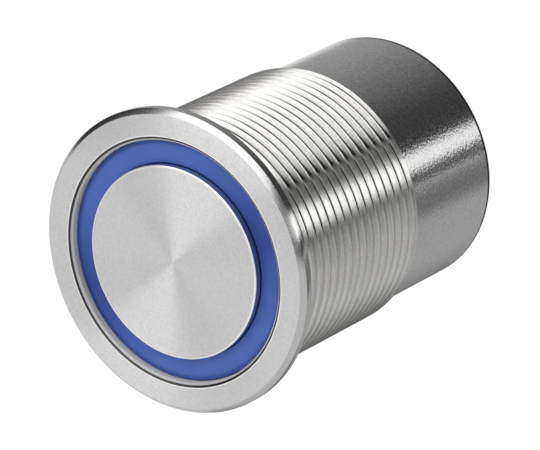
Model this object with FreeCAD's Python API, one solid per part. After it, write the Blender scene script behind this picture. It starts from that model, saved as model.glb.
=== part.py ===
import FreeCAD, Part
import math
import os

# Ring-lit piezo pushbutton for a 22 mm panel hole, in millimetres.
# The axis lies along Y and the front face looks towards -Y, with +Z up. The origin is the centre
# of the flange's rear face, which lies on the front of the panel.
# A depth is measured from the front face towards the rear.

# Housing outside: the 22 mm fine thread, and what stands over or under it
thread_diameter = 21.9
thread_length = 15.35
thread_end_chamfer = 0.25
flange_overhang = 1.55
flange_thickness = 1.1
flange_chamfer = 0.4
neck_step = 0.3
neck_length = 2.05
sleeve_step = 0.5
body_length = 28.9
rear_rim_chamfer = 0.25

# Housing inside
neck_wall = 0.69
recess_chamfer = 0.25
seat_depth = 2.5
seat_width = 1.26
lip_thickness = 1.2
body_wall = 1.15

# Radial clearances between pieces that sit in each other
ring_clearance = 0.05
disc_clearance = 0.05
skirt_clearance = 0.1
plate_clearance = 0.15
carrier_clearance = 0.1
contact_clearance = 0.05
board_clearance = 0.1
base_clearance = 0.05

# Light ring, actuator and their seals
ring_width = 1.91
ring_face_depth = 0.7
ring_ledge_depth = 1.5
ring_skirt_wall = 1.5
ring_gasket_thickness = 0.3
ring_gasket_setback = 0.11
disc_edge_chamfer = 0.08
disc_seal_thickness = 0.15
disc_seal_setback = 0.25
membrane_thickness = 0.55
actuator_wall = 0.9
actuator_skirt_length = 1.5

# Piezo element, its carrier and its contacts
brass_plate_thickness = 0.2
ceramic_margin = 1.5
ceramic_thickness = 0.2
carrier_gap = 0.45
contact_barrel_diameter = 1.1
contact_plunger_diameter = 0.6
contact_plunger_length = 0.6

# Front board with its lamps
front_board_thickness = 0.8
spacer_setback = 0.05
lamp_count = 6
lamp_length = 2.0
lamp_width = 1.25
lamp_base_height = 0.35
lamp_lens_height = 0.45
lamp_lens_inset = 0.12
lamp_gap = 0.3

# Main board, its link pins and the liner round it
liner_wall = 0.25
main_board_thickness = 1.0
main_board_margin = 0.75
board_to_base = 3.4
link_pin_size = 0.6
link_pin_length = 2.4
link_pin_foot = 1.6
link_pin_pitch = 2.54
link_pin_count = 4

# Parts soldered to the main board, with their height, length along the axis and width
transistor_size = (1.0, 1.3, 2.9)
transistor_edge_gap = 0.25
rectifier_size = (1.6, 3.9, 4.7)
surge_diode_size = (2.2, 2.6, 4.3)
capacitor_size = (1.2, 1.6, 3.2)
resistor_size = (0.5, 1.25, 2.0)
resistor_spacing = 3.6
resistor_count = 4
lead_length = 0.5
lead_width = 0.4
lead_thickness = 0.15

# Rear closure and terminals
base_thickness = 2.4
resin_thickness = 3.2
resin_recess = 1.4
collar_wall = 0.7
collar_height = 0.3
terminal_width = 2.8
terminal_thickness = 0.5
terminal_spacing_x = 7.2
terminal_spacing_z = 6.8
terminal_overlap = 2.4
terminal_straight = 0.3
terminal_reach = 5.0
terminal_tip_chamfer = 0.6
terminal_tip_length = 1.0
terminal_eye_diameter = 1.2
terminal_eye_setback = 2.2

# Radii that several pieces share
thread_radius = thread_diameter / 2
flange_radius = thread_radius + flange_overhang
neck_radius = thread_radius - neck_step
sleeve_radius = thread_radius - sleeve_step
recess_radius = neck_radius - neck_wall
lip_radius = recess_radius - seat_width
bore_radius = sleeve_radius - body_wall
ring_radius = recess_radius - ring_clearance
ring_bore_radius = ring_radius - ring_width
ring_skirt_radius = lip_radius - skirt_clearance
ledge_radius = ring_skirt_radius - ring_skirt_wall
disc_radius = ring_bore_radius - disc_clearance
actuator_skirt_radius = ledge_radius - disc_clearance
pocket_radius = actuator_skirt_radius - actuator_wall
plate_radius = pocket_radius - plate_clearance
ceramic_radius = plate_radius - ceramic_margin
side_contact_x = (plate_radius + ceramic_radius) / 2
lamp_circle_radius = (ledge_radius + ring_skirt_radius) / 2
board_radius = bore_radius - board_clearance
liner_bore_radius = board_radius - liner_wall
main_board_half_width = liner_bore_radius - main_board_margin

# Places along the axis that several pieces share
front = -flange_thickness
seat = front + seat_depth
lip_rear = seat + lip_thickness
ring_face = front + ring_face_depth
ring_flange_rear = seat - ring_gasket_thickness
ring_ledge = front + ring_ledge_depth
disc_rear = ring_ledge - disc_seal_thickness
actuator_rear = disc_rear + actuator_skirt_length
membrane_rear = front + membrane_thickness
plate_rear = membrane_rear + brass_plate_thickness
ceramic_rear = plate_rear + ceramic_thickness
front_board_face = lip_rear + lamp_gap + lamp_lens_height + lamp_base_height
front_board_rear = front_board_face + front_board_thickness
resin_rear = body_length - resin_recess
base_rear = resin_rear - resin_thickness
base_front = base_rear - base_thickness
main_board_rear = base_front - board_to_base
terminal_front = main_board_rear - terminal_overlap
terminal_tip = body_length + terminal_reach
board_side = main_board_thickness / 2

Y_AXIS = FreeCAD.Vector(0, 1, 0)
ORIGIN = FreeCAD.Vector(0, 0, 0)


def turned(profile):
    """A solid of revolution about the axis from (radius, y) points."""
    points = [FreeCAD.Vector(radius, y, 0) for radius, y in profile]
    face = Part.Face(Part.makePolygon(points + points[:1]))
    return face.revolve(ORIGIN, Y_AXIS, 360)


def ring(outer_radius, inner_radius, y_start, y_end):
    """A plain washer or tube round the axis."""
    return turned([
        (inner_radius, y_start),
        (outer_radius, y_start),
        (outer_radius, y_end),
        (inner_radius, y_end),
    ])


def rod(radius, y_start, y_end, x=0.0):
    """A round rod parallel to the axis."""
    return Part.makeCylinder(radius, y_end - y_start, FreeCAD.Vector(x, y_start, 0), Y_AXIS)


def block(size, centre_x, y_start, centre_z):
    """A box from its (x, y, z) sizes, the y of its front and the centre of its section."""
    corner = FreeCAD.Vector(centre_x - size[0] / 2, y_start, centre_z - size[2] / 2)
    return Part.makeBox(size[0], size[1], size[2], corner)


def plate(outline, thickness_vector):
    """A flat plate from the points of its outline."""
    return Part.Face(Part.makePolygon(outline + outline[:1])).extrude(thickness_vector)


# Housing: one turned stainless steel body


def housing():
    """Flange, neck, threaded length and sleeve outside; recess, lip and bore inside."""
    thread_start = neck_length + neck_step
    thread_end = neck_length + thread_length
    return turned([
        (recess_radius + recess_chamfer, front),
        (flange_radius - flange_chamfer, front),
        (flange_radius, front + flange_chamfer),
        (flange_radius, 0),
        (neck_radius, 0),
        (neck_radius, neck_length),
        (thread_radius, thread_start),
        (thread_radius, thread_end - thread_end_chamfer),
        (thread_radius - thread_end_chamfer, thread_end),
        (sleeve_radius, thread_end),
        (sleeve_radius, body_length - rear_rim_chamfer),
        (sleeve_radius - rear_rim_chamfer, body_length),
        (bore_radius + rear_rim_chamfer, body_length),
        (bore_radius, body_length - rear_rim_chamfer),
        (bore_radius, lip_rear),
        (lip_radius, lip_rear),
        (lip_radius, seat),
        (recess_radius, seat),
        (recess_radius, front + recess_chamfer),
    ])


# Front: light ring, actuator and the seals under them


def light_ring():
    """The translucent ring: a flange in the recess and a skirt through the lip to the lamps."""
    return turned([
        (ring_bore_radius, ring_face),
        (ring_radius, ring_face),
        (ring_radius, ring_flange_rear),
        (ring_skirt_radius, ring_flange_rear),
        (ring_skirt_radius, lip_rear),
        (ledge_radius, lip_rear),
        (ledge_radius, ring_ledge),
        (ring_bore_radius, ring_ledge),
    ])


def ring_gasket():
    return ring(ring_radius, lip_radius + ring_gasket_setback, ring_flange_rear, seat)


def actuator():
    """The steel disc that is pressed: a thin membrane in a stiff rim, with a skirt behind it."""
    return turned([
        (0, front),
        (disc_radius - disc_edge_chamfer, front),
        (disc_radius, front + disc_edge_chamfer),
        (disc_radius, disc_rear),
        (actuator_skirt_radius, disc_rear),
        (actuator_skirt_radius, actuator_rear),
        (pocket_radius, actuator_rear),
        (pocket_radius, membrane_rear),
        (0, membrane_rear),
    ])


def actuator_seal():
    return ring(disc_radius, ledge_radius + disc_seal_setback, disc_rear, ring_ledge)


# Piezo element and what reads it


def piezo_plate():
    return rod(plate_radius, membrane_rear, plate_rear)


def piezo_ceramic():
    return rod(ceramic_radius, plate_rear, ceramic_rear)


def contact_carrier():
    """The plastic insert behind the element, held between the actuator and the front board."""
    stem = rod(pocket_radius - carrier_clearance, ceramic_rear + carrier_gap, actuator_rear)
    collar = rod(ledge_radius - carrier_clearance, actuator_rear, front_board_face)
    carrier = stem.fuse(collar).removeSplitter()
    hole_radius = contact_barrel_diameter / 2 + contact_clearance
    for x in (0, side_contact_x):
        carrier = carrier.cut(rod(hole_radius, ceramic_rear, front_board_face, x))
    return carrier


def spring_contact(x, y_tip):
    """One sprung contact: a barrel on the front board with a thinner plunger ahead of it."""
    y_barrel = y_tip + contact_plunger_length
    plunger = rod(contact_plunger_diameter / 2, y_tip, y_barrel, x)
    barrel = rod(contact_barrel_diameter / 2, y_barrel, front_board_face, x)
    return plunger.fuse(barrel)


def spring_contacts():
    """One contact touches the ceramic's silvered face, the other the brass plate's edge."""
    return Part.makeCompound([
        spring_contact(0, ceramic_rear),
        spring_contact(side_contact_x, plate_rear),
    ])


# Front board and its lamps


def board_spacer():
    return ring(board_radius, lip_radius + spacer_setback, lip_rear, front_board_face)


def front_board():
    return rod(board_radius, front_board_face, front_board_rear)


def ring_lamps():
    """Surface-mounted lamps in a circle behind the ring's skirt, each a base with a lens."""
    base_size = (lamp_width, lamp_base_height, lamp_length)
    lens_size = (
        lamp_width - 2 * lamp_lens_inset,
        lamp_lens_height,
        lamp_length - 2 * lamp_lens_inset,
    )
    base_y = front_board_face - lamp_base_height
    lamps = []
    for i in range(lamp_count):
        lamp = block(base_size, lamp_circle_radius, base_y, 0)
        lamp = lamp.fuse(block(lens_size, lamp_circle_radius, base_y - lamp_lens_height, 0))
        lamp.rotate(ORIGIN, Y_AXIS, 360 * i / lamp_count)
        lamps.append(lamp)
    return Part.makeCompound(lamps)


# Main board with its soldered parts


def main_board():
    length = main_board_rear - front_board_rear
    size = (main_board_thickness, length, 2 * main_board_half_width)
    return block(size, 0, front_board_rear, 0)


def centred(count, spacing):
    """Evenly spaced places either side of the middle."""
    return [(i - (count - 1) / 2) * spacing for i in range(count)]


def link_pins():
    """Angled pins that join the two boards, each with a foot on the front board."""
    leg = (link_pin_size, link_pin_length, link_pin_size)
    foot = (link_pin_foot, link_pin_size, link_pin_size)
    pins = []
    for z in centred(link_pin_count, link_pin_pitch):
        pin = block(leg, board_side + link_pin_size / 2, front_board_rear, z)
        pin = pin.fuse(block(foot, board_side + link_pin_foot / 2, front_board_rear, z))
        pins.append(pin.removeSplitter())
    return Part.makeCompound(pins)


def row_middles(sizes, y_start, y_end):
    """The middle of each row of parts, with equal gaps before, between and behind the rows."""
    gap = (y_end - y_start - sum(size[1] for size in sizes)) / (len(sizes) + 1)
    middles = []
    y = y_start + gap
    for size in sizes:
        middles.append(y + size[1] / 2)
        y += size[1] + gap
    return middles


def far_side_middles():
    """Rows opposite the pins: the surge diode, the capacitor with the transistors, the resistors."""
    rows = (surge_diode_size, capacitor_size, resistor_size)
    return row_middles(rows, front_board_rear, terminal_front)


def soldered(size, side, y_middle, centre_z, leads=()):
    """A part on one side of the main board, with flat leads as (end, place along its length)."""
    y_start = y_middle - size[1] / 2
    body = block(size, side * (board_side + size[0] / 2), y_start, centre_z)
    for end, place in leads:
        lead = block(
            (lead_thickness, lead_width, lead_length),
            side * (board_side + lead_thickness / 2),
            y_start + place * size[1] - lead_width / 2,
            centre_z + end * (size[2] + lead_length) / 2,
        )
        body = body.fuse(lead)
    return body


def transistors():
    """One each side of the capacitor, by the edges of the main board."""
    leads = [(-1, 0.5), (1, 0.2), (1, 0.8)]
    y_middle = far_side_middles()[1]
    z = main_board_half_width - transistor_edge_gap - lead_length - transistor_size[2] / 2
    return Part.makeCompound([
        soldered(transistor_size, -1, y_middle, -z, leads),
        soldered(transistor_size, -1, y_middle, z, leads),
    ])


def rectifier():
    leads = [(-1, 0.2), (-1, 0.8), (1, 0.2), (1, 0.8)]
    pin_end = front_board_rear + link_pin_length
    y_middle = row_middles([rectifier_size], pin_end, terminal_front)[0]
    return soldered(rectifier_size, 1, y_middle, 0, leads)


def surge_diode():
    return soldered(surge_diode_size, -1, far_side_middles()[0], 0, [(-1, 0.5), (1, 0.5)])


def capacitor():
    return soldered(capacitor_size, -1, far_side_middles()[1], 0)


def resistors():
    y_middle = far_side_middles()[2]
    places = centred(resistor_count, resistor_spacing)
    return Part.makeCompound([soldered(resistor_size, -1, y_middle, z) for z in places])


def insulating_liner():
    return ring(board_radius, liner_bore_radius, front_board_rear, base_front)


# Rear closure: base, terminals and resin


def terminal_places():
    """The centres of the four terminals, first the switch pair and then the lamp pair."""
    x = terminal_spacing_x / 2
    z = terminal_spacing_z / 2
    return [(x, z), (-x, z), (x, -z), (-x, -z)]


def collars():
    """The walls round the terminals, as plain blocks."""
    size = (
        terminal_thickness + 2 * collar_wall,
        resin_rear + collar_height - base_rear,
        terminal_width + 2 * collar_wall,
    )
    return [block(size, x, base_rear, z) for x, z in terminal_places()]


def terminal_base():
    """The moulded base, with a collar round each terminal that keeps the resin off the blade."""
    base = rod(bore_radius - base_clearance, base_front, base_rear)
    base = base.multiFuse(collars()).removeSplitter()
    slot = (terminal_thickness, resin_rear + collar_height - base_front, terminal_width)
    for x, z in terminal_places():
        base = base.cut(block(slot, x, base_front, z))
    return base


def potting_resin():
    return rod(bore_radius, base_rear, resin_rear).cut(Part.makeCompound(collars()))


def strip_outline(line, thickness):
    """The outline of a strip of even thickness that follows a line of (x, y) points."""
    headings = []
    for (x0, y0), (x1, y1) in zip(line, line[1:]):
        headings.append(math.atan2(y1 - y0, x1 - x0))
    left = []
    right = []
    for (x, y), before, after in zip(line, headings[:1] + headings, headings + headings[-1:]):
        middle = (before + after) / 2
        reach = thickness / 2 / math.cos((after - before) / 2)
        left.append((x - reach * math.sin(middle), y + reach * math.cos(middle)))
        right.append((x + reach * math.sin(middle), y - reach * math.cos(middle)))
    return left + right[::-1]


def blade_outline():
    """The terminal seen from its flat side, as (z, y) points with a narrowed tip."""
    half = terminal_width / 2
    tip_half = half - terminal_tip_chamfer
    shoulder = terminal_tip - terminal_tip_length
    return [
        (-half, terminal_front),
        (half, terminal_front),
        (half, shoulder),
        (tip_half, terminal_tip),
        (-tip_half, terminal_tip),
        (-half, shoulder),
    ]


def terminal(x, z):
    """A blade that lies on the main board, steps outwards and passes the base to the rear."""
    x_board = math.copysign(board_side + terminal_thickness / 2, x)
    y_step_end = base_front - terminal_straight
    line = [
        (x_board, terminal_front),
        (x_board, y_step_end - abs(x - x_board)),
        (x, y_step_end),
        (x, terminal_tip),
    ]
    side_view = strip_outline(line, terminal_thickness)
    bent = plate(
        [FreeCAD.Vector(px, py, z - terminal_width / 2) for px, py in side_view],
        FreeCAD.Vector(0, 0, terminal_width),
    )
    x_low = min(px for px, py in side_view)
    x_high = max(px for px, py in side_view)
    flat = plate(
        [FreeCAD.Vector(x_low, py, z + pz) for pz, py in blade_outline()],
        FreeCAD.Vector(x_high - x_low, 0, 0),
    )
    eye = Part.makeCylinder(
        terminal_eye_diameter / 2,
        x_high - x_low,
        FreeCAD.Vector(x_low, terminal_tip - terminal_eye_setback, z),
        FreeCAD.Vector(1, 0, 0),
    )
    return bent.common(flat).cut(eye)


def switch_terminals():
    return Part.makeCompound([terminal(x, z) for x, z in terminal_places()[:2]])


def lamp_terminals():
    return Part.makeCompound([terminal(x, z) for x, z in terminal_places()[2:]])


PIECES = [
    housing,
    light_ring,
    ring_gasket,
    actuator,
    actuator_seal,
    piezo_plate,
    piezo_ceramic,
    contact_carrier,
    spring_contacts,
    board_spacer,
    front_board,
    ring_lamps,
    main_board,
    link_pins,
    transistors,
    rectifier,
    surge_diode,
    capacitor,
    resistors,
    insulating_liner,
    terminal_base,
    potting_resin,
    switch_terminals,
    lamp_terminals,
]

os.makedirs("parts", exist_ok=True)
for piece in PIECES:
    shape = piece()
    shape.exportStep(os.path.join("parts", piece.__name__ + ".step"))
    print(piece.__name__, len(shape.Solids), "solids", round(shape.Volume, 2), "mm3")
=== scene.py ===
import math
import bmesh
import bpy
from mathutils import Matrix, Vector
from mathutils.geometry import delaunay_2d_cdt


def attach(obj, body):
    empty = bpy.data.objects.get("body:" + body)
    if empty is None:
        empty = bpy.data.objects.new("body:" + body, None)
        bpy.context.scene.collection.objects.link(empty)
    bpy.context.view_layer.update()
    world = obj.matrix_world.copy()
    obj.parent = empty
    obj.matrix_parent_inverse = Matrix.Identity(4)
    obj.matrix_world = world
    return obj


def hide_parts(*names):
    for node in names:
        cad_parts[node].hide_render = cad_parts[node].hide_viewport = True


# Looks of a ring-lit piezo pushbutton. Sizes are in millimetres up to the mesh, which is in metres.
# The axis lies along Y, the front face looks towards -Y and +Z is up.

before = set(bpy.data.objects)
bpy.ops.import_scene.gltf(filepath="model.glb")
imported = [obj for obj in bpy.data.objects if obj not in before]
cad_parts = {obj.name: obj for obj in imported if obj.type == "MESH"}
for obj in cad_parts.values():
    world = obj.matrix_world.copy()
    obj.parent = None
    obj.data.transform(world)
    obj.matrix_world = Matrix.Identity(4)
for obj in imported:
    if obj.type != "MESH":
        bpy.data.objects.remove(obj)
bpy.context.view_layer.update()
MM = 0.001

# Sizes that follow the solids
FRONT = -1.1
FLANGE_RADIUS = 12.5
FLANGE_CHAMFER = 0.4
RECESS_RADIUS = 9.96
RECESS_CHAMFER = 0.25
NECK_RADIUS = 10.65
NECK_END = 2.05
THREAD_RADIUS = 10.95
THREAD_START = 2.35
THREAD_CHAMFER_START = 17.15
THREAD_END = 17.4
THREAD_END_RADIUS = 10.7
SLEEVE_RADIUS = 10.45
BODY_END = 28.9
RIM_CHAMFER = 0.25
BORE_RADIUS = 9.3
LIP_RADIUS = 8.7
LIP_REAR = 2.6
SEAT = 1.4
RING_FACE = -0.4
RING_OUTER = 9.91
RING_BORE = 8.0
RING_REAR = 1.1
RING_LEDGE = 0.4
SKIRT_RADIUS = 8.6
LEDGE_RADIUS = 7.1
DISC_RADIUS = 7.95
DISC_CHAMFER = 0.08
DISC_REAR = 0.25
ACTUATOR_SKIRT = 7.05
ACTUATOR_REAR = 1.75
POCKET_RADIUS = 6.15
MEMBRANE_REAR = -0.55
BASE_REAR = 24.3
RESIN_REAR = 27.5
COLLAR_SIZE = (1.9, 4.2)
COLLAR_PLACES = [(3.6, 3.4), (-3.6, 3.4), (3.6, -3.4), (-3.6, -3.4)]

# Thread form
PITCH = 1.0
GROOVE_DEPTH = 0.22
GROOVE_ROOT = 0.03
FLANK_ANGLE = math.radians(30)
FIRST_GROOVE = 2.62
CREST_CROWN = 0.03
CREST_ROUNDING = 0.04
# The share of each groove's rising flank that is left without the grooves' painted shade
UNSHADED_FLANK_SHARE = 0.3
END_SNAP = 0.012
END_ROWS = 8

# Finish zones that follow no solid: the dark line at the sleeve's rear, a painted dark reflection;
# at the recess the share of the chamfer where a painted dark line starts, the break of its edge and
# how far the painted dark line and the painted highlight reach past that; and the painted highlight
# round the disc
REAR_DARK_LINE = 0.28
DARK_LINE_START = 0.6
RECESS_BREAK = 0.03
DARK_LINE_REACH = 2.6 * RECESS_BREAK
HIGHLIGHT_REACH = 5.5 * RECESS_BREAK
DISC_HIGHLIGHT_BAND = 0.06

# Resin: how high and far it creeps at a wall, how far its surface sinks, and its mesh
CREEP = 0.16
SINK = 0.02
CREEP_LOOPS = (0.0, 0.06, 0.14, 0.26, 0.45)
BORE_STEPS = 180
COLLAR_SPACING = 0.3
GRID_SPACING = 0.6
GRID_ROW = 0.87
GRID_CLEARANCE = 0.75

# Mesh fineness
COLUMNS = 360
ARC_STEP = math.radians(26)
SHARP_ANGLE = math.radians(38)
FACE_RINGS = (0.3, 0.9, 1.8, 3.0, 4.4, 6.0, 7.4)


# Mesh helpers


def filleted(profile, closed):
    """Rounds the corners of a (radius, y, rounding, finish) profile.

    A point's finish is that of the line after it.
    """
    out = []
    count = len(profile)
    for i, (r, y, rounding, finish) in enumerate(profile):
        inner = closed or 0 < i < count - 1
        if not inner or rounding <= 0:
            out.append((r, y, finish))
            continue
        corner = Vector((r, y))
        before = Vector(profile[i - 1][:2]) - corner
        after = Vector(profile[(i + 1) % count][:2]) - corner
        half = before.angle(after) / 2
        reach = rounding / math.tan(half)
        start = corner + before.normalized() * reach
        end = corner + after.normalized() * reach
        inwards = (before.normalized() + after.normalized()).normalized()
        centre = corner + inwards * rounding / math.sin(half)
        turn = math.pi - 2 * half
        steps = max(2, round(turn / ARC_STEP))
        arm = start - centre
        sign = 1 if arm.cross(end - centre) > 0 else -1
        last_finish = profile[i - 1][3]
        for k in range(steps + 1):
            angle = sign * turn * k / steps
            c, s = math.cos(angle), math.sin(angle)
            p = centre + Vector((arm.x * c - arm.y * s, arm.x * s + arm.y * c))
            out.append((p.x, p.y, finish if 2 * k >= steps else last_finish))
    return out


class Turning:
    """A mesh turned about the Y axis in columns, whose vertices are shared by column and place."""

    def __init__(self, columns):
        self.columns = columns
        self.vertices = []
        self.index = {}
        self.faces = []
        self.finishes = []

    def vertex(self, column, radius, y):
        column %= self.columns
        key = (0 if radius < 1e-6 else column, round(radius, 5), round(y, 5))
        if key not in self.index:
            angle = 2 * math.pi * column / self.columns
            self.index[key] = len(self.vertices)
            x, z = radius * math.cos(angle), radius * math.sin(angle)
            self.vertices.append((x * MM, y * MM, z * MM))
        return self.index[key]

    def face(self, corners, finish):
        kept = [v for i, v in enumerate(corners) if v != corners[i - 1]]
        if len(kept) > 2:
            self.faces.append(kept)
            self.finishes.append(finish)

    def turn(self, profile, closed):
        """Turns a (radius, y, finish) profile that runs with the material on its right."""
        count = len(profile)
        for i in range(count if closed else count - 1):
            r0, y0, finish = profile[i]
            r1, y1, _ = profile[(i + 1) % count]
            for c in range(self.columns):
                self.face([
                    self.vertex(c, r0, y0),
                    self.vertex(c, r1, y1),
                    self.vertex(c + 1, r1, y1),
                    self.vertex(c + 1, r0, y0),
                ], finish)

    def build(self, name, materials):
        mesh = bpy.data.meshes.new(name)
        mesh.from_pydata(self.vertices, [], self.faces)
        for material in materials:
            mesh.materials.append(material)
        mesh.polygons.foreach_set("material_index", self.finishes)
        return finished(name, mesh)


def finished(name, mesh):
    """Links a mesh as an object, with outward faces and normals led by the large faces."""
    work = bmesh.new()
    work.from_mesh(mesh)
    bmesh.ops.recalc_face_normals(work, faces=work.faces)
    work.to_mesh(mesh)
    work.free()
    mesh.shade_smooth()
    mesh.set_sharp_from_angle(angle=SHARP_ANGLE)
    obj = bpy.data.objects.new(name, mesh)
    bpy.context.scene.collection.objects.link(obj)
    normals = obj.modifiers.new("normals", "WEIGHTED_NORMAL")
    normals.keep_sharp = True
    normals.weight = 100
    return obj


# Node helpers


def add(tree, kind, inputs=(), **settings):
    node = tree.nodes.new(kind)
    for key, value in settings.items():
        setattr(node, key, value)
    for key, value in dict(inputs).items():
        if isinstance(value, bpy.types.NodeSocket):
            tree.links.new(value, node.inputs[key])
        else:
            node.inputs[key].default_value = value
    return node


def maths(tree, operation, a, b=0.0):
    return add(tree, "ShaderNodeMath", {0: a, 1: b}, operation=operation).outputs[0]


def vector_maths(tree, operation, *values, output=0):
    inputs = dict(enumerate(values))
    return add(tree, "ShaderNodeVectorMath", inputs, operation=operation).outputs[output]


def new_material(name):
    material = bpy.data.materials.new(name)
    material.use_nodes = True
    return material, material.node_tree, material.node_tree.nodes["Principled BSDF"]


def object_place(tree):
    return add(tree, "ShaderNodeTexCoord").outputs["Object"]


def place_parts(tree):
    return add(tree, "ShaderNodeSeparateXYZ", {"Vector": object_place(tree)}).outputs


def noise(tree, vector, scale, detail):
    inputs = {"Vector": vector, "Scale": scale, "Detail": detail, "Roughness": 0.5}
    return add(tree, "ShaderNodeTexNoise", inputs).outputs["Fac"]


def spread(tree, value, low, high, from_low=0.3, from_high=0.7):
    return add(tree, "ShaderNodeMapRange", {
        "Value": value,
        "From Min": from_low,
        "From Max": from_high,
        "To Min": low,
        "To Max": high,
    }).outputs["Result"]


def blend_colours(tree, value, low, high, from_low=0.3, from_high=0.7):
    ramp = add(tree, "ShaderNodeValToRGB", {"Fac": value})
    ramp.color_ramp.elements[0].position = from_low
    ramp.color_ramp.elements[0].color = (*low, 1)
    ramp.color_ramp.elements[1].position = from_high
    ramp.color_ramp.elements[1].color = (*high, 1)
    return ramp.outputs["Color"]


def bump(tree, height, distance, under=None):
    """The normal of a relief, on top of another one where that is given."""
    inputs = {"Height": height, "Distance": distance, "Strength": 1.0}
    if under is not None:
        inputs["Normal"] = under
    return add(tree, "ShaderNodeBump", inputs).outputs["Normal"]


def distance_from_axis(tree, parts):
    x_squared = maths(tree, "MULTIPLY", parts[0], parts[0])
    z_squared = maths(tree, "MULTIPLY", parts[2], parts[2])
    return maths(tree, "SQRT", maths(tree, "ADD", x_squared, z_squared))


MARKS_ALONG_PER_MM = 0.12


def turning_marks(tree, per_mm):
    """Noise that runs round the axis: fine across the cut, long along it."""
    parts = place_parts(tree)
    radius = distance_from_axis(tree, parts)
    across = per_mm / MM
    along = MARKS_ALONG_PER_MM / MM
    vector = add(tree, "ShaderNodeCombineXYZ", {
        "X": maths(tree, "MULTIPLY", radius, across),
        "Y": maths(tree, "MULTIPLY", parts[1], across),
        "Z": maths(tree, "MULTIPLY", parts[0], along),
    }).outputs["Vector"]
    return add(tree, "ShaderNodeTexNoise", {
        "Vector": vector,
        "W": maths(tree, "MULTIPLY", parts[2], along),
        "Scale": 1.0,
        "Detail": 4.0,
        "Roughness": 0.62,
    }, noise_dimensions="4D").outputs["Fac"]


# Materials

# How far the roughness varies either way, and how much coarser a cloud of tone is than its grain
STEEL_GLOSS_RANGE = 0.03
DULL_GLOSS_RANGE = 0.07
CLOUD_SHARE = 0.2


def turned_steel(
    name, tone, contrast, rough, anisotropy, ridges, grains,
    per_mm=6.0, marks_share=0.5, grain_per_mm=7.0, painted_shading=None,
):
    """Turned stainless steel: marks round the axis and a grain, in tone, gloss and relief.

    contrast is a share of the tone, and ridges and grains are the heights of the relief. per_mm
    and grain_per_mm give how fine both are, and marks_share how much of the mixture is marks.
    """
    material, tree, shader = new_material(name)
    marks = turning_marks(tree, per_mm)
    grain = noise(tree, object_place(tree), grain_per_mm / MM, 2.0)
    marks_part = maths(tree, "MULTIPLY", marks, marks_share)
    grain_part = maths(tree, "MULTIPLY", grain, 1 - marks_share)
    mixed = maths(tree, "ADD", marks_part, grain_part)
    low = tuple(c * (1 - contrast) for c in tone)
    high = tuple(min(1.0, c * (1 + contrast)) for c in tone)
    colour = blend_colours(tree, mixed, low, high)
    # Painted shade and painted light by place about the axis, where given
    if painted_shading:
        colour = vector_maths(tree, "MULTIPLY", colour, painted_shading(tree))
    tree.links.new(colour, shader.inputs["Base Color"])
    gloss = spread(tree, mixed, rough - STEEL_GLOSS_RANGE, rough + STEEL_GLOSS_RANGE)
    tree.links.new(gloss, shader.inputs["Roughness"])
    ridged = bump(tree, marks, ridges * MM)
    tree.links.new(bump(tree, grain, grains * MM, under=ridged), shader.inputs["Normal"])
    shader.inputs["Metallic"].default_value = 1.0
    shader.inputs["Anisotropic"].default_value = anisotropy
    # A quarter turn lays the streaks across the marks
    shader.inputs["Anisotropic Rotation"].default_value = 0.25
    tangent = add(tree, "ShaderNodeTangent", direction_type="RADIAL", axis="Y")
    tree.links.new(tangent.outputs["Tangent"], shader.inputs["Tangent"])
    return material


def angle_and_place(tree):
    """The angle about the axis in degrees from +X to +Z, and the place in the pitch.

    The place runs from 0 at a groove's middle to 1 at the next.
    """
    parts = place_parts(tree)
    angle = maths(tree, "ARCTAN2", parts[2], parts[0])
    from_groove = maths(tree, "SUBTRACT", parts[1], FIRST_GROOVE * MM)
    along = maths(tree, "DIVIDE", from_groove, PITCH * MM)
    turns = maths(tree, "DIVIDE", angle, 2 * math.pi)
    place = maths(tree, "FRACT", maths(tree, "ADD", along, turns))
    return maths(tree, "DEGREES", angle), place


def sector(tree, angle, limits):
    """1 within a sector about the axis, fading at both its ends.

    limits are the angles at which it starts, is full, begins to fade and ends.
    """
    start, full, fading, end = limits
    rise = spread(tree, angle, 0.0, 1.0, start, full)
    fall = spread(tree, angle, 1.0, 0.0, fading, end)
    return maths(tree, "MULTIPLY", rise, fall)


def tone_curve(tree, value, stops):
    ramp = add(tree, "ShaderNodeValToRGB", {"Fac": value})
    elements = ramp.color_ramp.elements
    while len(elements) < len(stops):
        elements.new(0.5)
    for element, (place, tone) in zip(elements, stops):
        element.position = place
        element.color = (tone, tone, tone, 1)
    return ramp.outputs["Color"]


def faded(tree, share, tone):
    """A tone that acts by a share: 1 where the share is 0."""
    change = maths(tree, "MULTIPLY", share, maths(tree, "SUBTRACT", tone, 1.0))
    return maths(tree, "ADD", change, 1.0)


# The thread's painted shade and painted light: the crests' painted dark lines by the place in the
# pitch, and the sectors of painted shade, painted highlight and painted groove light in degrees
# about the axis
UPPER_CREST_SHADE = [
    (0.0, 0.35), (0.03, 0.06), (0.16, 0.06), (0.22, 0.5), (0.28, 0.78), (0.5, 0.9), (0.8, 1.0),
]
LOWER_CREST_SHADE = [(0.0, 1.0), (0.11, 0.85), (0.2, 0.62), (0.29, 0.66), (0.45, 0.92), (0.75, 1.0)]
UPPER_CRESTS = (37.0, 40.0, 72.0, 95.0)
LOWER_CRESTS = (-55.0, -40.0, 12.5, 19.0)
FLAME = (38.0, 48.0)
FLAME_WIDTH = 0.3
SHADED_CRESTS = (-130.0, -55.0, -50.0, -27.0)
SHADED_TONE = 0.35
CREST_HIGHLIGHT_SECTOR = (38.0, 46.0, 105.0, 120.0)
CREST_HIGHLIGHT_TONE = 1.25
UPPER_GROOVES = (37.0, 41.0, 100.0, 130.0)
UPPER_GROOVE_LIGHT = 10.0
LOWER_GROOVES = (-70.0, -50.0, 12.5, 19.0)
LOWER_GROOVE_LIGHT = 8.0


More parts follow.
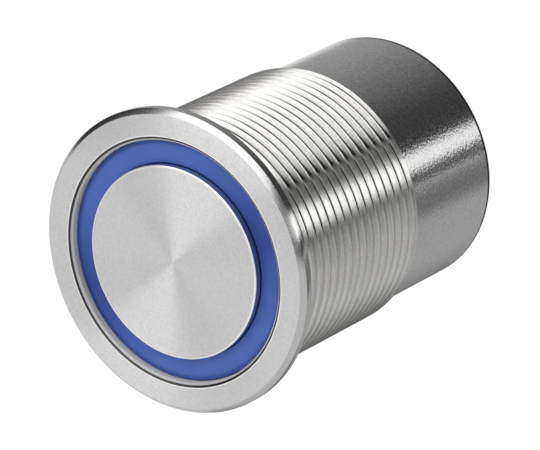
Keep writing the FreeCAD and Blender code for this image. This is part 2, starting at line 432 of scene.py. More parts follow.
def crest_painted_shading(tree):
    """Painted shade on one side of each crest: sharp above, where it runs out in flames, and faint
    below; with painted shade on the lower crests and a painted highlight on the upper ones.
    """
    angle, place = angle_and_place(tree)
    upper = sector(tree, angle, UPPER_CRESTS)
    lower = sector(tree, angle, LOWER_CRESTS)
    flame = spread(tree, angle, FLAME_WIDTH, 1.0, *FLAME)
    upper_tone = tone_curve(tree, maths(tree, "MULTIPLY", place, flame), UPPER_CREST_SHADE)
    lower_tone = tone_curve(tree, place, LOWER_CREST_SHADE)
    shaded = faded(tree, sector(tree, angle, SHADED_CRESTS), SHADED_TONE)
    bright = faded(tree, sector(tree, angle, CREST_HIGHLIGHT_SECTOR), CREST_HIGHLIGHT_TONE)
    lines = maths(
        tree, "MULTIPLY", faded(tree, upper, upper_tone), faded(tree, lower, lower_tone)
    )
    return maths(tree, "MULTIPLY", maths(tree, "MULTIPLY", lines, shaded), bright)


def groove_painted_light(tree):
    """Painted light on the grooves' painted shade, where light from above and below would fill
    them.
    """
    angle, _ = angle_and_place(tree)
    upper = maths(tree, "MULTIPLY", sector(tree, angle, UPPER_GROOVES), UPPER_GROOVE_LIGHT)
    lower = faded(tree, sector(tree, angle, LOWER_GROOVES), LOWER_GROOVE_LIGHT)
    return maths(tree, "ADD", lower, upper)


# The ring's painted shade: the direction towards its two lit ends, with the painted shade of its
# sides between them. The shade of the sides changes over a stretch along that direction from the
# middle, and the painted shade at the edges over stretches of the radius. The last line is how far
# each colour follows the shade.
RING_LIT_WAY = (-0.434, 0, 0.901)
RING_SHADED_SIDES = (1.2, 7.2)
RING_INNER_SHADE = (7.95, 8.3)
RING_OUTER_SHADE = (9.47, 9.66)
RING_SHADE_TINT = (1.05, 0.95, 0.72)


def tone_over(tree, distance, tones, limits):
    """A tone that changes over a stretch given in millimetres."""
    return spread(tree, distance, *tones, limits[0] * MM, limits[1] * MM)


def blue_ring_plastic():
    """Matte translucent blue plastic with a moulded grain, with painted shade at its sides and
    edges.
    """
    material, tree, shader = new_material("blue_ring")
    place = object_place(tree)
    radius = distance_from_axis(tree, place_parts(tree))
    height = vector_maths(tree, "DOT_PRODUCT", place, RING_LIT_WAY, output="Value")
    cloud = noise(tree, place, 0.35 / MM, 3.0)
    grain = noise(tree, place, 14 / MM, 2.0)
    # Painted shade: dark at the two sides, a little at the disc and more at the outer edge
    side_shade = tone_over(tree, maths(tree, "ABSOLUTE", height), (0.40, 1.0), RING_SHADED_SIDES)
    inner = tone_over(tree, radius, (0.85, 1.0), RING_INNER_SHADE)
    outer_shade = tone_over(tree, radius, (1.0, 0.55), RING_OUTER_SHADE)
    painted_shading = maths(tree, "MULTIPLY", side_shade, maths(tree, "MULTIPLY", inner, outer_shade))
    colour = blend_colours(tree, cloud, (0.047, 0.102, 0.375), (0.059, 0.122, 0.42))
    loss = maths(tree, "SUBTRACT", painted_shading, 1.0)
    tint = vector_maths(tree, "MULTIPLY_ADD", loss, RING_SHADE_TINT, (1, 1, 1))
    tree.links.new(vector_maths(tree, "MULTIPLY", colour, tint), shader.inputs["Base Color"])
    tree.links.new(spread(tree, grain, 0.46, 0.60), shader.inputs["Roughness"])
    tree.links.new(bump(tree, grain, 0.004 * MM), shader.inputs["Normal"])
    shader.inputs["Specular IOR Level"].default_value = 0.3
    shader.inputs["Subsurface Weight"].default_value = 0.15
    shader.inputs["Subsurface Radius"].default_value = (0.1, 0.2, 0.8)
    shader.inputs["Subsurface Scale"].default_value = 0.6 * MM
    return material


def dull_material(name, low, high, rough, per_mm, depth, metallic=0.0):
    """A plain finish: a cloud of tone, a grain of gloss and a shallow relief of the grain."""
    material, tree, shader = new_material(name)
    place = object_place(tree)
    cloud = noise(tree, place, per_mm * CLOUD_SHARE / MM, 3.0)
    grain = noise(tree, place, per_mm / MM, 4.0)
    tree.links.new(blend_colours(tree, cloud, low, high), shader.inputs["Base Color"])
    gloss = spread(tree, grain, rough - DULL_GLOSS_RANGE, rough + DULL_GLOSS_RANGE)
    tree.links.new(gloss, shader.inputs["Roughness"])
    tree.links.new(bump(tree, grain, depth * MM), shader.inputs["Normal"])
    shader.inputs["Metallic"].default_value = metallic
    return material


def circuit_board():
    """Green solder mask over a glass weave, with the tracks showing as paler bands under it."""
    material, tree, shader = new_material("green_board")
    place = object_place(tree)
    weave = add(tree, "ShaderNodeTexWave", {
        "Vector": place,
        "Scale": 1.2 / MM,
        "Distortion": 1.0,
    }, bands_direction="DIAGONAL")
    tracks = add(tree, "ShaderNodeTexBrick", {
        "Vector": place,
        "Scale": 0.35 / MM,
        "Mortar Size": 0.09,
        "Color1": (0.012, 0.075, 0.03, 1),
        "Color2": (0.016, 0.09, 0.036, 1),
        "Mortar": (0.03, 0.17, 0.06, 1),
    })
    grain = noise(tree, place, 6 / MM, 3.0)
    tree.links.new(tracks.outputs["Color"], shader.inputs["Base Color"])
    tree.links.new(spread(tree, grain, 0.24, 0.36), shader.inputs["Roughness"])
    weave_part = maths(tree, "MULTIPLY", weave.outputs["Fac"], 0.3)
    height = maths(tree, "ADD", weave_part, tracks.outputs["Fac"])
    tree.links.new(bump(tree, height, 0.01 * MM), shader.inputs["Normal"])
    return material


def lens_material():
    """Clear cast resin over a pale yellow phosphor."""
    material, tree, shader = new_material("lamp_lens")
    place = object_place(tree)
    cloud = noise(tree, place, 1.1 / MM, 2.0)
    colour = blend_colours(tree, cloud, (0.70, 0.72, 0.74), (0.86, 0.84, 0.62))
    tree.links.new(colour, shader.inputs["Base Color"])
    tree.links.new(spread(tree, cloud, 0.08, 0.16), shader.inputs["Roughness"])
    tree.links.new(bump(tree, cloud, 0.01 * MM), shader.inputs["Normal"])
    shader.inputs["Transmission Weight"].default_value = 0.45
    return material


def film_material():
    """Amber polyimide film with the faint lines of its rolling."""
    material, tree, shader = new_material("amber_film")
    place = object_place(tree)
    lines = add(tree, "ShaderNodeTexWave", {
        "Vector": place,
        "Scale": 0.9 / MM,
        "Distortion": 3.0,
        "Detail": 3.0,
    }, bands_direction="Y").outputs["Fac"]
    colour = blend_colours(tree, lines, (0.42, 0.17, 0.02), (0.58, 0.27, 0.04), 0.0, 1.0)
    tree.links.new(colour, shader.inputs["Base Color"])
    tree.links.new(spread(tree, lines, 0.16, 0.26, 0.0, 1.0), shader.inputs["Roughness"])
    tree.links.new(bump(tree, lines, 0.004 * MM), shader.inputs["Normal"])
    shader.inputs["Transmission Weight"].default_value = 0.4
    return material


STEEL_TONE = (0.64, 0.64, 0.637)
SLEEVE_TONE = (0.61, 0.61, 0.607)
# A paler copy of the steel for painted highlights along edges
EDGE_HIGHLIGHT_TONE = (0.86, 0.858, 0.85)
# The chamfer's steel is a darker copy: painted shade that tones down its highlight
CHAMFER_SHADED_TONE = (0.44, 0.44, 0.437)
WALL_TONE = (0.60, 0.60, 0.588)
THREAD_TONE = (0.66, 0.653, 0.637)
# The grooves' near-black tone is painted shade
GROOVE_SHADE_TONE = (0.07, 0.069, 0.067)
# A near-black copy of the steel: the painted dark line at the sleeve's rear and the recess chamfer
DARK_LINE_TONE = (0.05, 0.048, 0.046)
FACE, EDGE_HIGHLIGHT, CHAMFER, RIM, WALL, PAINTED_DARK_LINE, THREAD, GROOVE_SHADE, SLEEVE, INSIDE = range(10)
STEEL = [
    turned_steel(
        "steel_face", STEEL_TONE, contrast=0.12, rough=0.42, anisotropy=0.92,
        ridges=0.001, grains=0.003, per_mm=5.0, marks_share=0.3, grain_per_mm=6.0,
    ),
    turned_steel(
        "steel_edge_painted_highlight", EDGE_HIGHLIGHT_TONE, contrast=0.04, rough=0.45, anisotropy=0.5,
        ridges=0.001, grains=0.002,
    ),
    turned_steel(
        "steel_chamfer", CHAMFER_SHADED_TONE, contrast=0.06, rough=0.27, anisotropy=0.85,
        ridges=0.001, grains=0.002,
    ),
    turned_steel(
        "steel_rim", SLEEVE_TONE, contrast=0.06, rough=0.18, anisotropy=0.5,
        ridges=0.001, grains=0.003,
    ),
    turned_steel(
        "steel_wall", WALL_TONE, contrast=0.06, rough=0.80, anisotropy=0.3,
        ridges=0.002, grains=0.004,
    ),
    turned_steel(
        "steel_painted_dark_line", DARK_LINE_TONE, contrast=0.1, rough=0.35, anisotropy=0.5,
        ridges=0.001, grains=0.002,
    ),
    turned_steel(
        "steel_thread_painted_shading", THREAD_TONE, contrast=0.24, rough=0.40, anisotropy=1.0,
        ridges=0.002, grains=0.007, marks_share=0.6, grain_per_mm=5.0, painted_shading=crest_painted_shading,
    ),
    turned_steel(
        "steel_groove_painted_shade", GROOVE_SHADE_TONE, contrast=0.2, rough=0.45, anisotropy=0.8,
        ridges=0.002, grains=0.004, painted_shading=groove_painted_light,
    ),
    turned_steel(
        "steel_sleeve", SLEEVE_TONE, contrast=0.17, rough=0.20, anisotropy=0.5,
        ridges=0.001, grains=0.014, per_mm=9.0, marks_share=0.2, grain_per_mm=4.4,
    ),
    turned_steel(
        "steel_inside", STEEL_TONE, contrast=0.06, rough=0.36, anisotropy=0.7,
        ridges=0.004, grains=0.002, per_mm=4.0,
    ),
]
BLUE = blue_ring_plastic()
BLACK_PLASTIC = dull_material(
    "black_plastic", (0.018, 0.018, 0.019), (0.028, 0.028, 0.029),
    rough=0.48, per_mm=8.0, depth=0.006,
)
BLACK_RESIN = dull_material(
    "black_resin", (0.010, 0.010, 0.011), (0.018, 0.018, 0.020),
    rough=0.20, per_mm=1.6, depth=0.012,
)
TINNED = dull_material(
    "tinned_brass", (0.72, 0.71, 0.67), (0.82, 0.81, 0.78),
    rough=0.46, per_mm=5.0, depth=0.003, metallic=1.0,
)
RUBBER = dull_material(
    "seal_rubber", (0.016, 0.016, 0.016), (0.028, 0.028, 0.027),
    rough=0.72, per_mm=10.0, depth=0.006,
)
BRASS = dull_material(
    "plate_brass", (0.74, 0.53, 0.20), (0.84, 0.64, 0.29),
    rough=0.28, per_mm=6.0, depth=0.003, metallic=1.0,
)
SILVERED = dull_material(
    "silvered_ceramic", (0.66, 0.65, 0.62), (0.76, 0.75, 0.72),
    rough=0.46, per_mm=12.0, depth=0.004, metallic=0.8,
)
NATURAL = dull_material(
    "natural_plastic", (0.68, 0.63, 0.49), (0.77, 0.73, 0.60),
    rough=0.50, per_mm=9.0, depth=0.006,
)
TAN = dull_material(
    "tan_ceramic", (0.40, 0.28, 0.17), (0.50, 0.36, 0.23),
    rough=0.55, per_mm=9.0, depth=0.005,
)
BLACK_CERAMIC = dull_material(
    "black_ceramic", (0.025, 0.025, 0.03), (0.04, 0.04, 0.046),
    rough=0.26, per_mm=5.0, depth=0.003,
)
BOARD = circuit_board()
LENS = lens_material()
FILM = film_material()

CARRIED_OVER = {
    "ring_gasket": RUBBER,
    "actuator_seal": RUBBER,
    "piezo_plate": BRASS,
    "piezo_ceramic": SILVERED,
    "contact_carrier": NATURAL,
    "spring_contacts": BRASS,
    "board_spacer": NATURAL,
    "front_board": BOARD,
    "ring_lamps": LENS,
    "main_board": BOARD,
    "link_pins": TINNED,
    "transistors": BLACK_PLASTIC,
    "rectifier": BLACK_PLASTIC,
    "surge_diode": BLACK_PLASTIC,
    "capacitor": TAN,
    "resistors": BLACK_CERAMIC,
    "insulating_liner": FILM,
}


# Pieces


def groove_section():
    """One pitch of the thread, crest to crest, as (y from the groove's middle, radius, finish)."""
    half_root = GROOVE_ROOT / 2
    half_opening = half_root + GROOVE_DEPTH * math.tan(FLANK_ANGLE)
    edge = THREAD_RADIUS - CREST_CROWN
    root = edge - GROOVE_DEPTH
    # The groove and the lower part of its rising flank take the painted shade
    dark_part = 1 - UNSHADED_FLANK_SHARE
    bright_radius = root + GROOVE_DEPTH * dark_part
    bright_y = half_root + (half_opening - half_root) * dark_part
    section = [
        (THREAD_RADIUS, -PITCH / 2, 0, THREAD),
        (edge, -half_opening, CREST_ROUNDING, GROOVE_SHADE),
        (root, -half_root, 0, GROOVE_SHADE),
        (root, half_root, 0, GROOVE_SHADE),
        (bright_radius, bright_y, 0, THREAD),
        (edge, half_opening, CREST_ROUNDING, THREAD),
        (THREAD_RADIUS, PITCH / 2, 0, THREAD),
    ]
    return [(y, r, finish) for r, y, finish in filleted(section, closed=False)]


GROOVE_SECTION = groove_section()


def thread_radius_at(turn, y):
    """The thread's surface: the helical groove under the run-in cone and the end chamfer."""
    along = (y - FIRST_GROOVE) / PITCH + turn
    offset = (along - round(along)) * PITCH
    grooved = THREAD_RADIUS
    for (y0, r0, _), (y1, r1, _) in zip(GROOVE_SECTION, GROOVE_SECTION[1:]):
        if y0 <= offset <= y1:
            grooved = r0 + (r1 - r0) * (offset - y0) / (y1 - y0)
            break
    run_in = NECK_RADIUS + (y - NECK_END)
    run_out = THREAD_END_RADIUS + (THREAD_END - y)
    return min(grooved, run_in, run_out)


def end_radius(turn, y):
    if y <= NECK_END:
        return NECK_RADIUS
    if y >= THREAD_END:
        return THREAD_END_RADIUS
    return thread_radius_at(turn, y)


def add_thread(body):
    """The right-hand helical thread, with its two ends cut across by plain circles."""
    columns = body.columns

    def point(step, y, radius):
        """A vertex of the thread, moved onto an end's circle where it lies past it or close by."""
        column = step % columns
        if y < THREAD_START + END_SNAP:
            y = THREAD_START
            radius = thread_radius_at(column / columns, y)
        elif y > THREAD_CHAMFER_START - END_SNAP:
            y = THREAD_CHAMFER_START
            radius = thread_radius_at(column / columns, y)
        return body.vertex(column, radius, y)

    # The columns run from +X towards +Z, and along them a right-hand thread comes forward
    first = math.floor((FIRST_GROOVE - THREAD_CHAMFER_START) / PITCH - 1) * columns
    last = math.ceil((FIRST_GROOVE - THREAD_START) / PITCH + 1) * columns
    for step in range(first, last):
        y_here = FIRST_GROOVE - PITCH * step / columns
        y_next = FIRST_GROOVE - PITCH * (step + 1) / columns
        for (o0, r0, finish), (o1, r1, _) in zip(GROOVE_SECTION, GROOVE_SECTION[1:]):
            body.face([
                point(step, y_here + o0, r0),
                point(step, y_here + o1, r1),
                point(step + 1, y_next + o1, r1),
                point(step + 1, y_next + o0, r0),
            ], finish)

    for y_from, y_to in ((NECK_END, THREAD_START), (THREAD_CHAMFER_START, THREAD_END)):
        levels = [y_from + (y_to - y_from) * i / END_ROWS for i in range(END_ROWS + 1)]
        for y0, y1 in zip(levels, levels[1:]):
            for c in range(columns):
                here, following = c / columns, (c + 1) / columns
                body.face([
                    body.vertex(c, end_radius(here, y0), y0),
                    body.vertex(c, end_radius(here, y1), y1),
                    body.vertex(c + 1, end_radius(following, y1), y1),
                    body.vertex(c + 1, end_radius(following, y0), y0),
                ], THREAD)


def make_housing():
    body = Turning(COLUMNS)
    recess_edge = RECESS_RADIUS + RECESS_CHAMFER
    outside = [
        (THREAD_END_RADIUS, THREAD_END, 0, THREAD),
        (SLEEVE_RADIUS, THREAD_END, 0.03, SLEEVE),
        # The sleeve's rear band takes the painted dark line
        (SLEEVE_RADIUS, BODY_END - RIM_CHAMFER - REAR_DARK_LINE, 0, PAINTED_DARK_LINE),
        (SLEEVE_RADIUS, BODY_END - RIM_CHAMFER, 0.06, PAINTED_DARK_LINE),
        (SLEEVE_RADIUS - RIM_CHAMFER, BODY_END, 0.05, INSIDE),
        (BORE_RADIUS + RIM_CHAMFER, BODY_END, 0.05, INSIDE),
        (BORE_RADIUS, BODY_END - RIM_CHAMFER, 0.05, INSIDE),
        (BORE_RADIUS, LIP_REAR, 0, INSIDE),
        (LIP_RADIUS, LIP_REAR, 0, INSIDE),
        (LIP_RADIUS, SEAT, 0, INSIDE),
        (RECESS_RADIUS, SEAT, 0, WALL),
        (RECESS_RADIUS, FRONT + RECESS_CHAMFER, 0.03, WALL),
        # The recess chamfer's outer share takes the painted dark line, then a band of the face
        # takes the painted highlight
        (
            RECESS_RADIUS + DARK_LINE_START * RECESS_CHAMFER,
            FRONT + (1 - DARK_LINE_START) * RECESS_CHAMFER, 0, PAINTED_DARK_LINE,
        ),
        (recess_edge - RECESS_BREAK, FRONT + RECESS_BREAK, 0, PAINTED_DARK_LINE),
        (recess_edge + RECESS_BREAK, FRONT, 0.02, PAINTED_DARK_LINE),
        (recess_edge + DARK_LINE_REACH, FRONT, 0, EDGE_HIGHLIGHT),
        (recess_edge + HIGHLIGHT_REACH, FRONT, 0, FACE),
        (FLANGE_RADIUS - FLANGE_CHAMFER, FRONT, 0.05, CHAMFER),
        (FLANGE_RADIUS, FRONT + FLANGE_CHAMFER, 0.04, RIM),
        (FLANGE_RADIUS, 0, 0.06, INSIDE),
        (NECK_RADIUS, 0, 0, THREAD),
        (NECK_RADIUS, NECK_END, 0, THREAD),
    ]
    body.turn(filleted(outside, closed=False), closed=False)
    add_thread(body)
    return body.build("housing_turned", STEEL)


def make_light_ring():
    body = Turning(COLUMNS)
    section = [
        (RING_BORE, RING_FACE, 0.05, 0),
        (RING_OUTER, RING_FACE, 0.06, 0),
        (RING_OUTER, RING_REAR, 0.05, 0),
        (SKIRT_RADIUS, RING_REAR, 0.04, 0),
        (SKIRT_RADIUS, LIP_REAR, 0.05, 0),
        (LEDGE_RADIUS, LIP_REAR, 0.05, 0),
        (LEDGE_RADIUS, RING_LEDGE, 0.04, 0),
        (RING_BORE, RING_LEDGE, 0.04, 0),
    ]
    body.turn(filleted(section, closed=True), closed=True)
    return body.build("light_ring_moulded", [BLUE])


def make_actuator():
    body = Turning(COLUMNS)
    # The disc's edge band and chamfer take the painted highlight
    face, edge, side = range(3)
    section = [(r, FRONT, 0, face) for r in (0, *FACE_RINGS)]
    section += [
        (DISC_RADIUS - DISC_CHAMFER - DISC_HIGHLIGHT_BAND, FRONT, 0, edge),
        (DISC_RADIUS - DISC_CHAMFER, FRONT, 0.02, edge),
        (DISC_RADIUS, FRONT + DISC_CHAMFER, 0.02, side),
        (DISC_RADIUS, DISC_REAR, 0.04, face),
        (ACTUATOR_SKIRT, DISC_REAR, 0.04, face),
        (ACTUATOR_SKIRT, ACTUATOR_REAR, 0.06, face),
        (POCKET_RADIUS, ACTUATOR_REAR, 0.06, face),
        (POCKET_RADIUS, MEMBRANE_REAR, 0.08, face),
        (0, MEMBRANE_REAR, 0, face),
    ]
    body.turn(filleted(section, closed=False), closed=False)
    return body.build("actuator_turned", [STEEL[FACE], STEEL[EDGE_HIGHLIGHT], STEEL[RIM]])


def rectangle_loop(x, z, width, height, spacing):
    """Points round a rectangle, evenly spaced and in order."""
    corners = [(-1, -1), (1, -1), (1, 1), (-1, 1)]
    points = []
    for (ax, az), (bx, bz) in zip(corners, corners[1:] + corners[:1]):
        start = Vector((x + ax * width / 2, z + az * height / 2))
        end = Vector((x + bx * width / 2, z + bz * height / 2))
        steps = max(1, round((end - start).length / spacing))
        points += [start.lerp(end, i / steps) for i in range(steps)]
    return points


def outside_rectangle(point, x, z, width, height):
    """How far a point lies outside a rectangle; 0 inside it."""
    dx = max(abs(point.x - x) - width / 2, 0.0)
    dz = max(abs(point.y - z) - height / 2, 0.0)
    return math.hypot(dx, dz)


def make_resin():
    """The cast resin, drawn up a little where it wets the bore and the collars."""
    points = []
    edges = []

    def add_loop(loop):
        start = len(points)
        points.extend(loop)
        edges.extend((start + i, start + (i + 1) % len(loop)) for i in range(len(loop)))

    def wall_distance(p):
        """How far a point lies from the bore or the nearest collar."""
        to_collars = [outside_rectangle(p, x, z, *COLLAR_SIZE) for x, z in COLLAR_PLACES]
        return min([BORE_RADIUS - p.length] + to_collars)

    turns = [2 * math.pi * i / BORE_STEPS for i in range(BORE_STEPS)]
    for offset in CREEP_LOOPS:
        radius = BORE_RADIUS - offset
        add_loop([Vector((radius * math.cos(a), radius * math.sin(a))) for a in turns])
    for x, z in COLLAR_PLACES:
        for offset in CREEP_LOOPS:
            width, height = (side + 2 * offset for side in COLLAR_SIZE)
            add_loop(rectangle_loop(x, z, width, height, COLLAR_SPACING))
    reach = int(BORE_RADIUS / GRID_SPACING) + 1
    for i in range(-reach, reach + 1):
        for k in range(-reach, reach + 1):
            x = (i + 0.5 * (k % 2)) * GRID_SPACING
            point = Vector((x, k * GRID_SPACING * GRID_ROW))
            if wall_distance(point) > GRID_CLEARANCE:
                points.append(point)
    flat, _, triangles, _, _, _ = delaunay_2d_cdt(points, edges, [], 1, 1e-6)

    def level(p):
        return RESIN_REAR + CREEP * math.exp(-max(wall_distance(p), 0.0) / CREEP) - SINK

    def inside_collar(p):
        return any(
            abs(p.x - x) < COLLAR_SIZE[0] / 2 - 1e-4 and abs(p.y - z) < COLLAR_SIZE[1] / 2 - 1e-4
            for x, z in COLLAR_PLACES
        )

    kept = []
    for triangle in triangles:
        middle = sum((flat[i] for i in triangle), Vector((0, 0))) / 3
        if not inside_collar(middle):
            kept.append(triangle)
    count = len(flat)
    vertices = [(p.x * MM, level(p) * MM, p.y * MM) for p in flat]
    vertices += [(p.x * MM, BASE_REAR * MM, p.y * MM) for p in flat]
    faces = [tuple(t) for t in kept] + [tuple(count + i for i in reversed(t)) for t in kept]
    borders = {}
    for t in kept:
        for a, b in zip(t, list(t[1:]) + [t[0]]):
            key = (min(a, b), max(a, b))
            borders[key] = None if key in borders else (a, b)
    faces += [(b, a, count + a, count + b) for a, b in filter(None, borders.values())]
    mesh = bpy.data.meshes.new("resin_cast")
    mesh.from_pydata(vertices, [], faces)
    mesh.materials.append(BLACK_RESIN)
    obj = finished("resin_cast", mesh)
    work = bmesh.new()
    work.from_mesh(mesh)
    bmesh.ops.delete(work, geom=[v for v in work.verts if not v.link_faces], context="VERTS")
    work.to_mesh(mesh)
    work.free()
    return obj


def broken_edges(name, node, width, material):
    """A copy of a solid's mesh whose edges are broken by a small rounding."""
    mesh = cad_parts[node].data.copy()
    mesh.name = name
    mesh.materials.clear()
    mesh.materials.append(material)
    work = bmesh.new()
    work.from_mesh(mesh)
    bmesh.ops.remove_doubles(work, verts=work.verts, dist=1e-7)
    bmesh.ops.dissolve_limit(work, angle_limit=math.radians(1), verts=work.verts, edges=work.edges)
    sharp = [e for e in work.edges if e.calc_face_angle(0) > math.radians(30)]
    bmesh.ops.bevel(
        work, geom=sharp, offset=width * MM,
        segments=2, profile=0.5, affect="EDGES", clamp_overlap=True,
    )
    work.to_mesh(mesh)
    work.free()
    return finished(name, mesh)


def carry_over():
    for node, material in CARRIED_OVER.items():
        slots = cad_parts[node].data.materials
        for i in range(max(1, len(slots))):
            if i < len(slots):
                slots[i] = material
            else:
                slots.append(material)


# Studio, in metres

WORLD_LIGHT = 0.8
FLOOR_LEVEL = -0.075
FLOOR_SIZE = 3.0
FLOOR_GLOW = 1.03
FLOOR_GLOW_SHARE = 0.95
CARD_WIDTH, CARD_HEIGHT, CARD_MIDDLE = 1.8, 1.3, 0.62


def placed(obj, place, target, along):
    """Puts an object so that its -Z looks at the target and its X runs along a direction."""
    away = (Vector(place) - Vector(target)).normalized()
    side = Vector(along)
    side = (side - away * side.dot(away)).normalized()
    top = away.cross(side)
    obj.matrix_world = Matrix((
        (side.x, top.x, away.x, place[0]),
        (side.y, top.y, away.y, place[1]),
        (side.z, top.z, away.z, place[2]),
        (0, 0, 0, 1),
    ))
    bpy.context.scene.collection.objects.link(obj)


def soft_lamp(name, place, target, along, length, width, level):
    """An area lamp whose level is its brightness against a white of 1."""
    data = bpy.data.lights.new(name, "AREA")
    data.shape = "RECTANGLE"
    data.size = length
    data.size_y = width
    data.energy = level * math.pi * length * width
    obj = bpy.data.objects.new(name, data)
    placed(obj, place, target, along)
    obj.visible_camera = False


def card_material(name, tone_start, tone_end, dark_part):
    """Matt card that keeps its first tone over a part of its length and then runs to its second."""
    material, tree, _ = new_material(name)
    place = add(tree, "ShaderNodeTexCoord").outputs["Generated"]
    along = add(tree, "ShaderNodeSeparateXYZ", {"Vector": place}).outputs[0]
    tone = spread(tree, along, tone_start, tone_end, dark_part, 1.0)
    glow = add(tree, "ShaderNodeEmission", {"Strength": tone})
    tree.links.new(glow.outputs[0], tree.nodes["Material Output"].inputs["Surface"])
    return material


def card(name, place, target, along, length, width, tone_start, tone_end, dark_part=0.0):
    """A studio card out of the camera's sight that the metal reflects."""
    mesh = bpy.data.meshes.new(name)
    x, y = length / 2, width / 2
    mesh.from_pydata([(-x, -y, 0), (x, -y, 0), (x, y, 0), (-x, y, 0)], [], [(0, 1, 2, 3)])
    mesh.materials.append(card_material(name, tone_start, tone_end, dark_part))
    obj = bpy.data.objects.new(name, mesh)
    placed(obj, place, target, along)
    obj.visible_camera = False
    obj.visible_shadow = False


def seen_rays(tree):
    """1 for the rays that show the background: to the camera, in gloss and through clear parts."""
    rays = add(tree, "ShaderNodeLightPath").outputs
    seen = maths(tree, "MAXIMUM", rays["Is Camera Ray"], rays["Is Glossy Ray"])
    return maths(tree, "MAXIMUM", seen, rays["Is Transmission Ray"])


def make_world():
    world = bpy.data.worlds.new("studio")
    world.use_nodes = True
    tree = world.node_tree
    tree.nodes.clear()
    light = add(tree, "ShaderNodeBackground", {"Color": (1, 1, 1, 1), "Strength": WORLD_LIGHT})
    white = add(tree, "ShaderNodeBackground", {"Color": (1, 1, 1, 1), "Strength": 1.0})
    shown = {0: seen_rays(tree), 1: light.outputs[0], 2: white.outputs[0]}
    mix = add(tree, "ShaderNodeMixShader", shown)
    out = add(tree, "ShaderNodeOutputWorld")
    tree.links.new(mix.outputs[0], out.inputs["Surface"])
    bpy.context.scene.world = world


def make_floor():
    mesh = bpy.data.meshes.new("floor")
    signs = [(-1, -1), (1, -1), (1, 1), (-1, 1)]
    corners = [(x * FLOOR_SIZE, y * FLOOR_SIZE, FLOOR_LEVEL) for x, y in signs]
    mesh.from_pydata(corners, [], [(0, 1, 2, 3)])
    material, tree, shader = new_material("floor_paper")
    place = object_place(tree)
    cloud = noise(tree, place, 30.0, 3.0)
    colour = blend_colours(tree, cloud, (0.90, 0.90, 0.90), (0.93, 0.93, 0.93))
    tree.links.new(colour, shader.inputs["Base Color"])
    shader.inputs["Roughness"].default_value = 0.9
    glow = add(tree, "ShaderNodeEmission", {"Color": (1, 1, 1, 1), "Strength": FLOOR_GLOW})
    share = maths(tree, "MULTIPLY", seen_rays(tree), FLOOR_GLOW_SHARE)
    mix = add(tree, "ShaderNodeMixShader", {0: share, 1: shader.outputs[0], 2: glow.outputs[0]})
    tree.links.new(mix.outputs[0], tree.nodes["Material Output"].inputs["Surface"])
    mesh.materials.append(material)
    obj = bpy.data.objects.new("floor", mesh)
    bpy.context.scene.collection.objects.link(obj)


def make_camera():
    """The camera that was fitted to the photograph."""
    data = bpy.data.cameras.new("camera")
    data.lens = 314.85
    data.sensor_width = 36.0
    data.sensor_fit = "HORIZONTAL"
    data.clip_start = 0.01
    data.clip_end = 20.0
    obj = bpy.data.objects.new("camera", data)
    bpy.context.scene.collection.objects.link(obj)
    right = Vector((0.819168, 0.573553, 0.0))
    forward = Vector((-0.537715, 0.767982, -0.347946))
    up = right.cross(forward)
    place = (0.204515, -0.279909, 0.131476)
    obj.matrix_world = Matrix((
        (right.x, up.x, -forward.x, place[0]),
        (right.y, up.y, -forward.y, place[1]),
        (right.z, up.z, -forward.z, place[2]),
        (0, 0, 0, 1),
    ))
    bpy.context.scene.camera = obj


def make_lights():
    soft_lamp(
        "key_box", (-0.045, -0.346, 0.362), (0, 0.01, 0), (-0.65, 0.19, 0.07),
        length=0.74, width=0.44, level=1.78,
    )
    soft_lamp(
        "top_box", (-0.016, 0.096, 0.5), (-0.016, 0.096, 0), (-0.86, 0.17, 0),
        length=0.88, width=0.26, level=2.8,
    )
    soft_lamp(
        "rear_strip", (0.5, 0.30, 0.170), (0, 0.30, 0), (0, 1, 0),
        length=1.2, width=0.15, level=1.55,
    )
    soft_lamp(
        "side_strip", (0.49, -0.05, 0.175), (0, -0.05, 0), (0, 1, 0),
        length=0.5, width=0.13, level=2.2,
    )


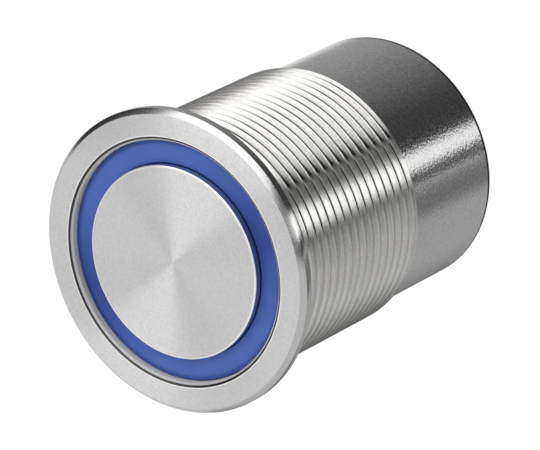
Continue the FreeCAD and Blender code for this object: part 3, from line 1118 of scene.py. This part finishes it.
def wall_card(name, place, target, along, length, tones, dark_part=0.0):
    """A card that stands upright round the object, at the height of the cards' middle."""
    card(
        name, (*place, CARD_MIDDLE), (*target, CARD_MIDDLE), along,
        length, CARD_HEIGHT, *tones, dark_part,
    )


def table_card(name, place, length, width, tones, dark_part=0.0):
    """A card that lies just above the floor and looks up."""
    x, y, _ = place
    card(name, place, (x, y, 1), (1, 0, 0), length, width, *tones, dark_part)


def make_cards():
    wall_card("card_rear", (0, 0.85), (0, 0), (-1, 0, 0), CARD_WIDTH, (0.05, 0.50), 0.33)
    wall_card("card_right", (0.85, 0), (0, 0), (0, 1, 0), CARD_WIDTH + 0.4, (0.02, 0.02))
    wall_card("card_left", (-0.85, 0.10), (0, 0.10), (0, -1, 0), 1.6, (0.02, 0.45), 0.6)
    card("card_top", (0, 0.45, 1.1), (0, 0.45, 0), (1, 0, 0), CARD_WIDTH, 0.9, 0.02, 0.02)
    wall_card("card_front", (0, -0.95), (0, 0), (-1, 0, 0), CARD_WIDTH, (0.55, 0.95))
    table_card("table_right", (0.57, 0.55, -0.07), 0.9, 0.9, (0.20, 0.36))
    table_card("table_rear", (0.025, 0.515, -0.072), 0.25, 0.91, (0.49, 0.49))
    # table_left_painted_shadow and table_under_painted_shadow are dark sheets under the part: a
    # painted shadow that stands in for the floor's shade next to it, seen in the metal's
    # reflections
    table_card("table_left_painted_shadow", (-0.04, 0.515, -0.0715), 0.12, 0.91, (0.12, 0.49), 0.3)
    table_card("table_under_painted_shadow", (0.014, 0.039, -0.068), 0.072, 0.058, (0.05, 0.50), 0.45)


def install(piece, node):
    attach(piece, "root")
    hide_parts(node)


make_world()
make_camera()
make_lights()
make_cards()
make_floor()
install(make_housing(), "housing")
install(make_light_ring(), "light_ring")
install(make_actuator(), "actuator")
install(make_resin(), "potting_resin")
for name, node, width, material, slot in (
    ("base_moulded", "terminal_base", 0.08, BLACK_PLASTIC, "black_plastic"),
    ("switch_blades", "switch_terminals", 0.05, TINNED, "tinned_brass"),
    ("lamp_blades", "lamp_terminals", 0.05, TINNED, "tinned_brass"),
):
    install(broken_edges(name, node, width, material), node)
carry_over()
bpy.context.scene.view_settings.view_transform = "Standard"
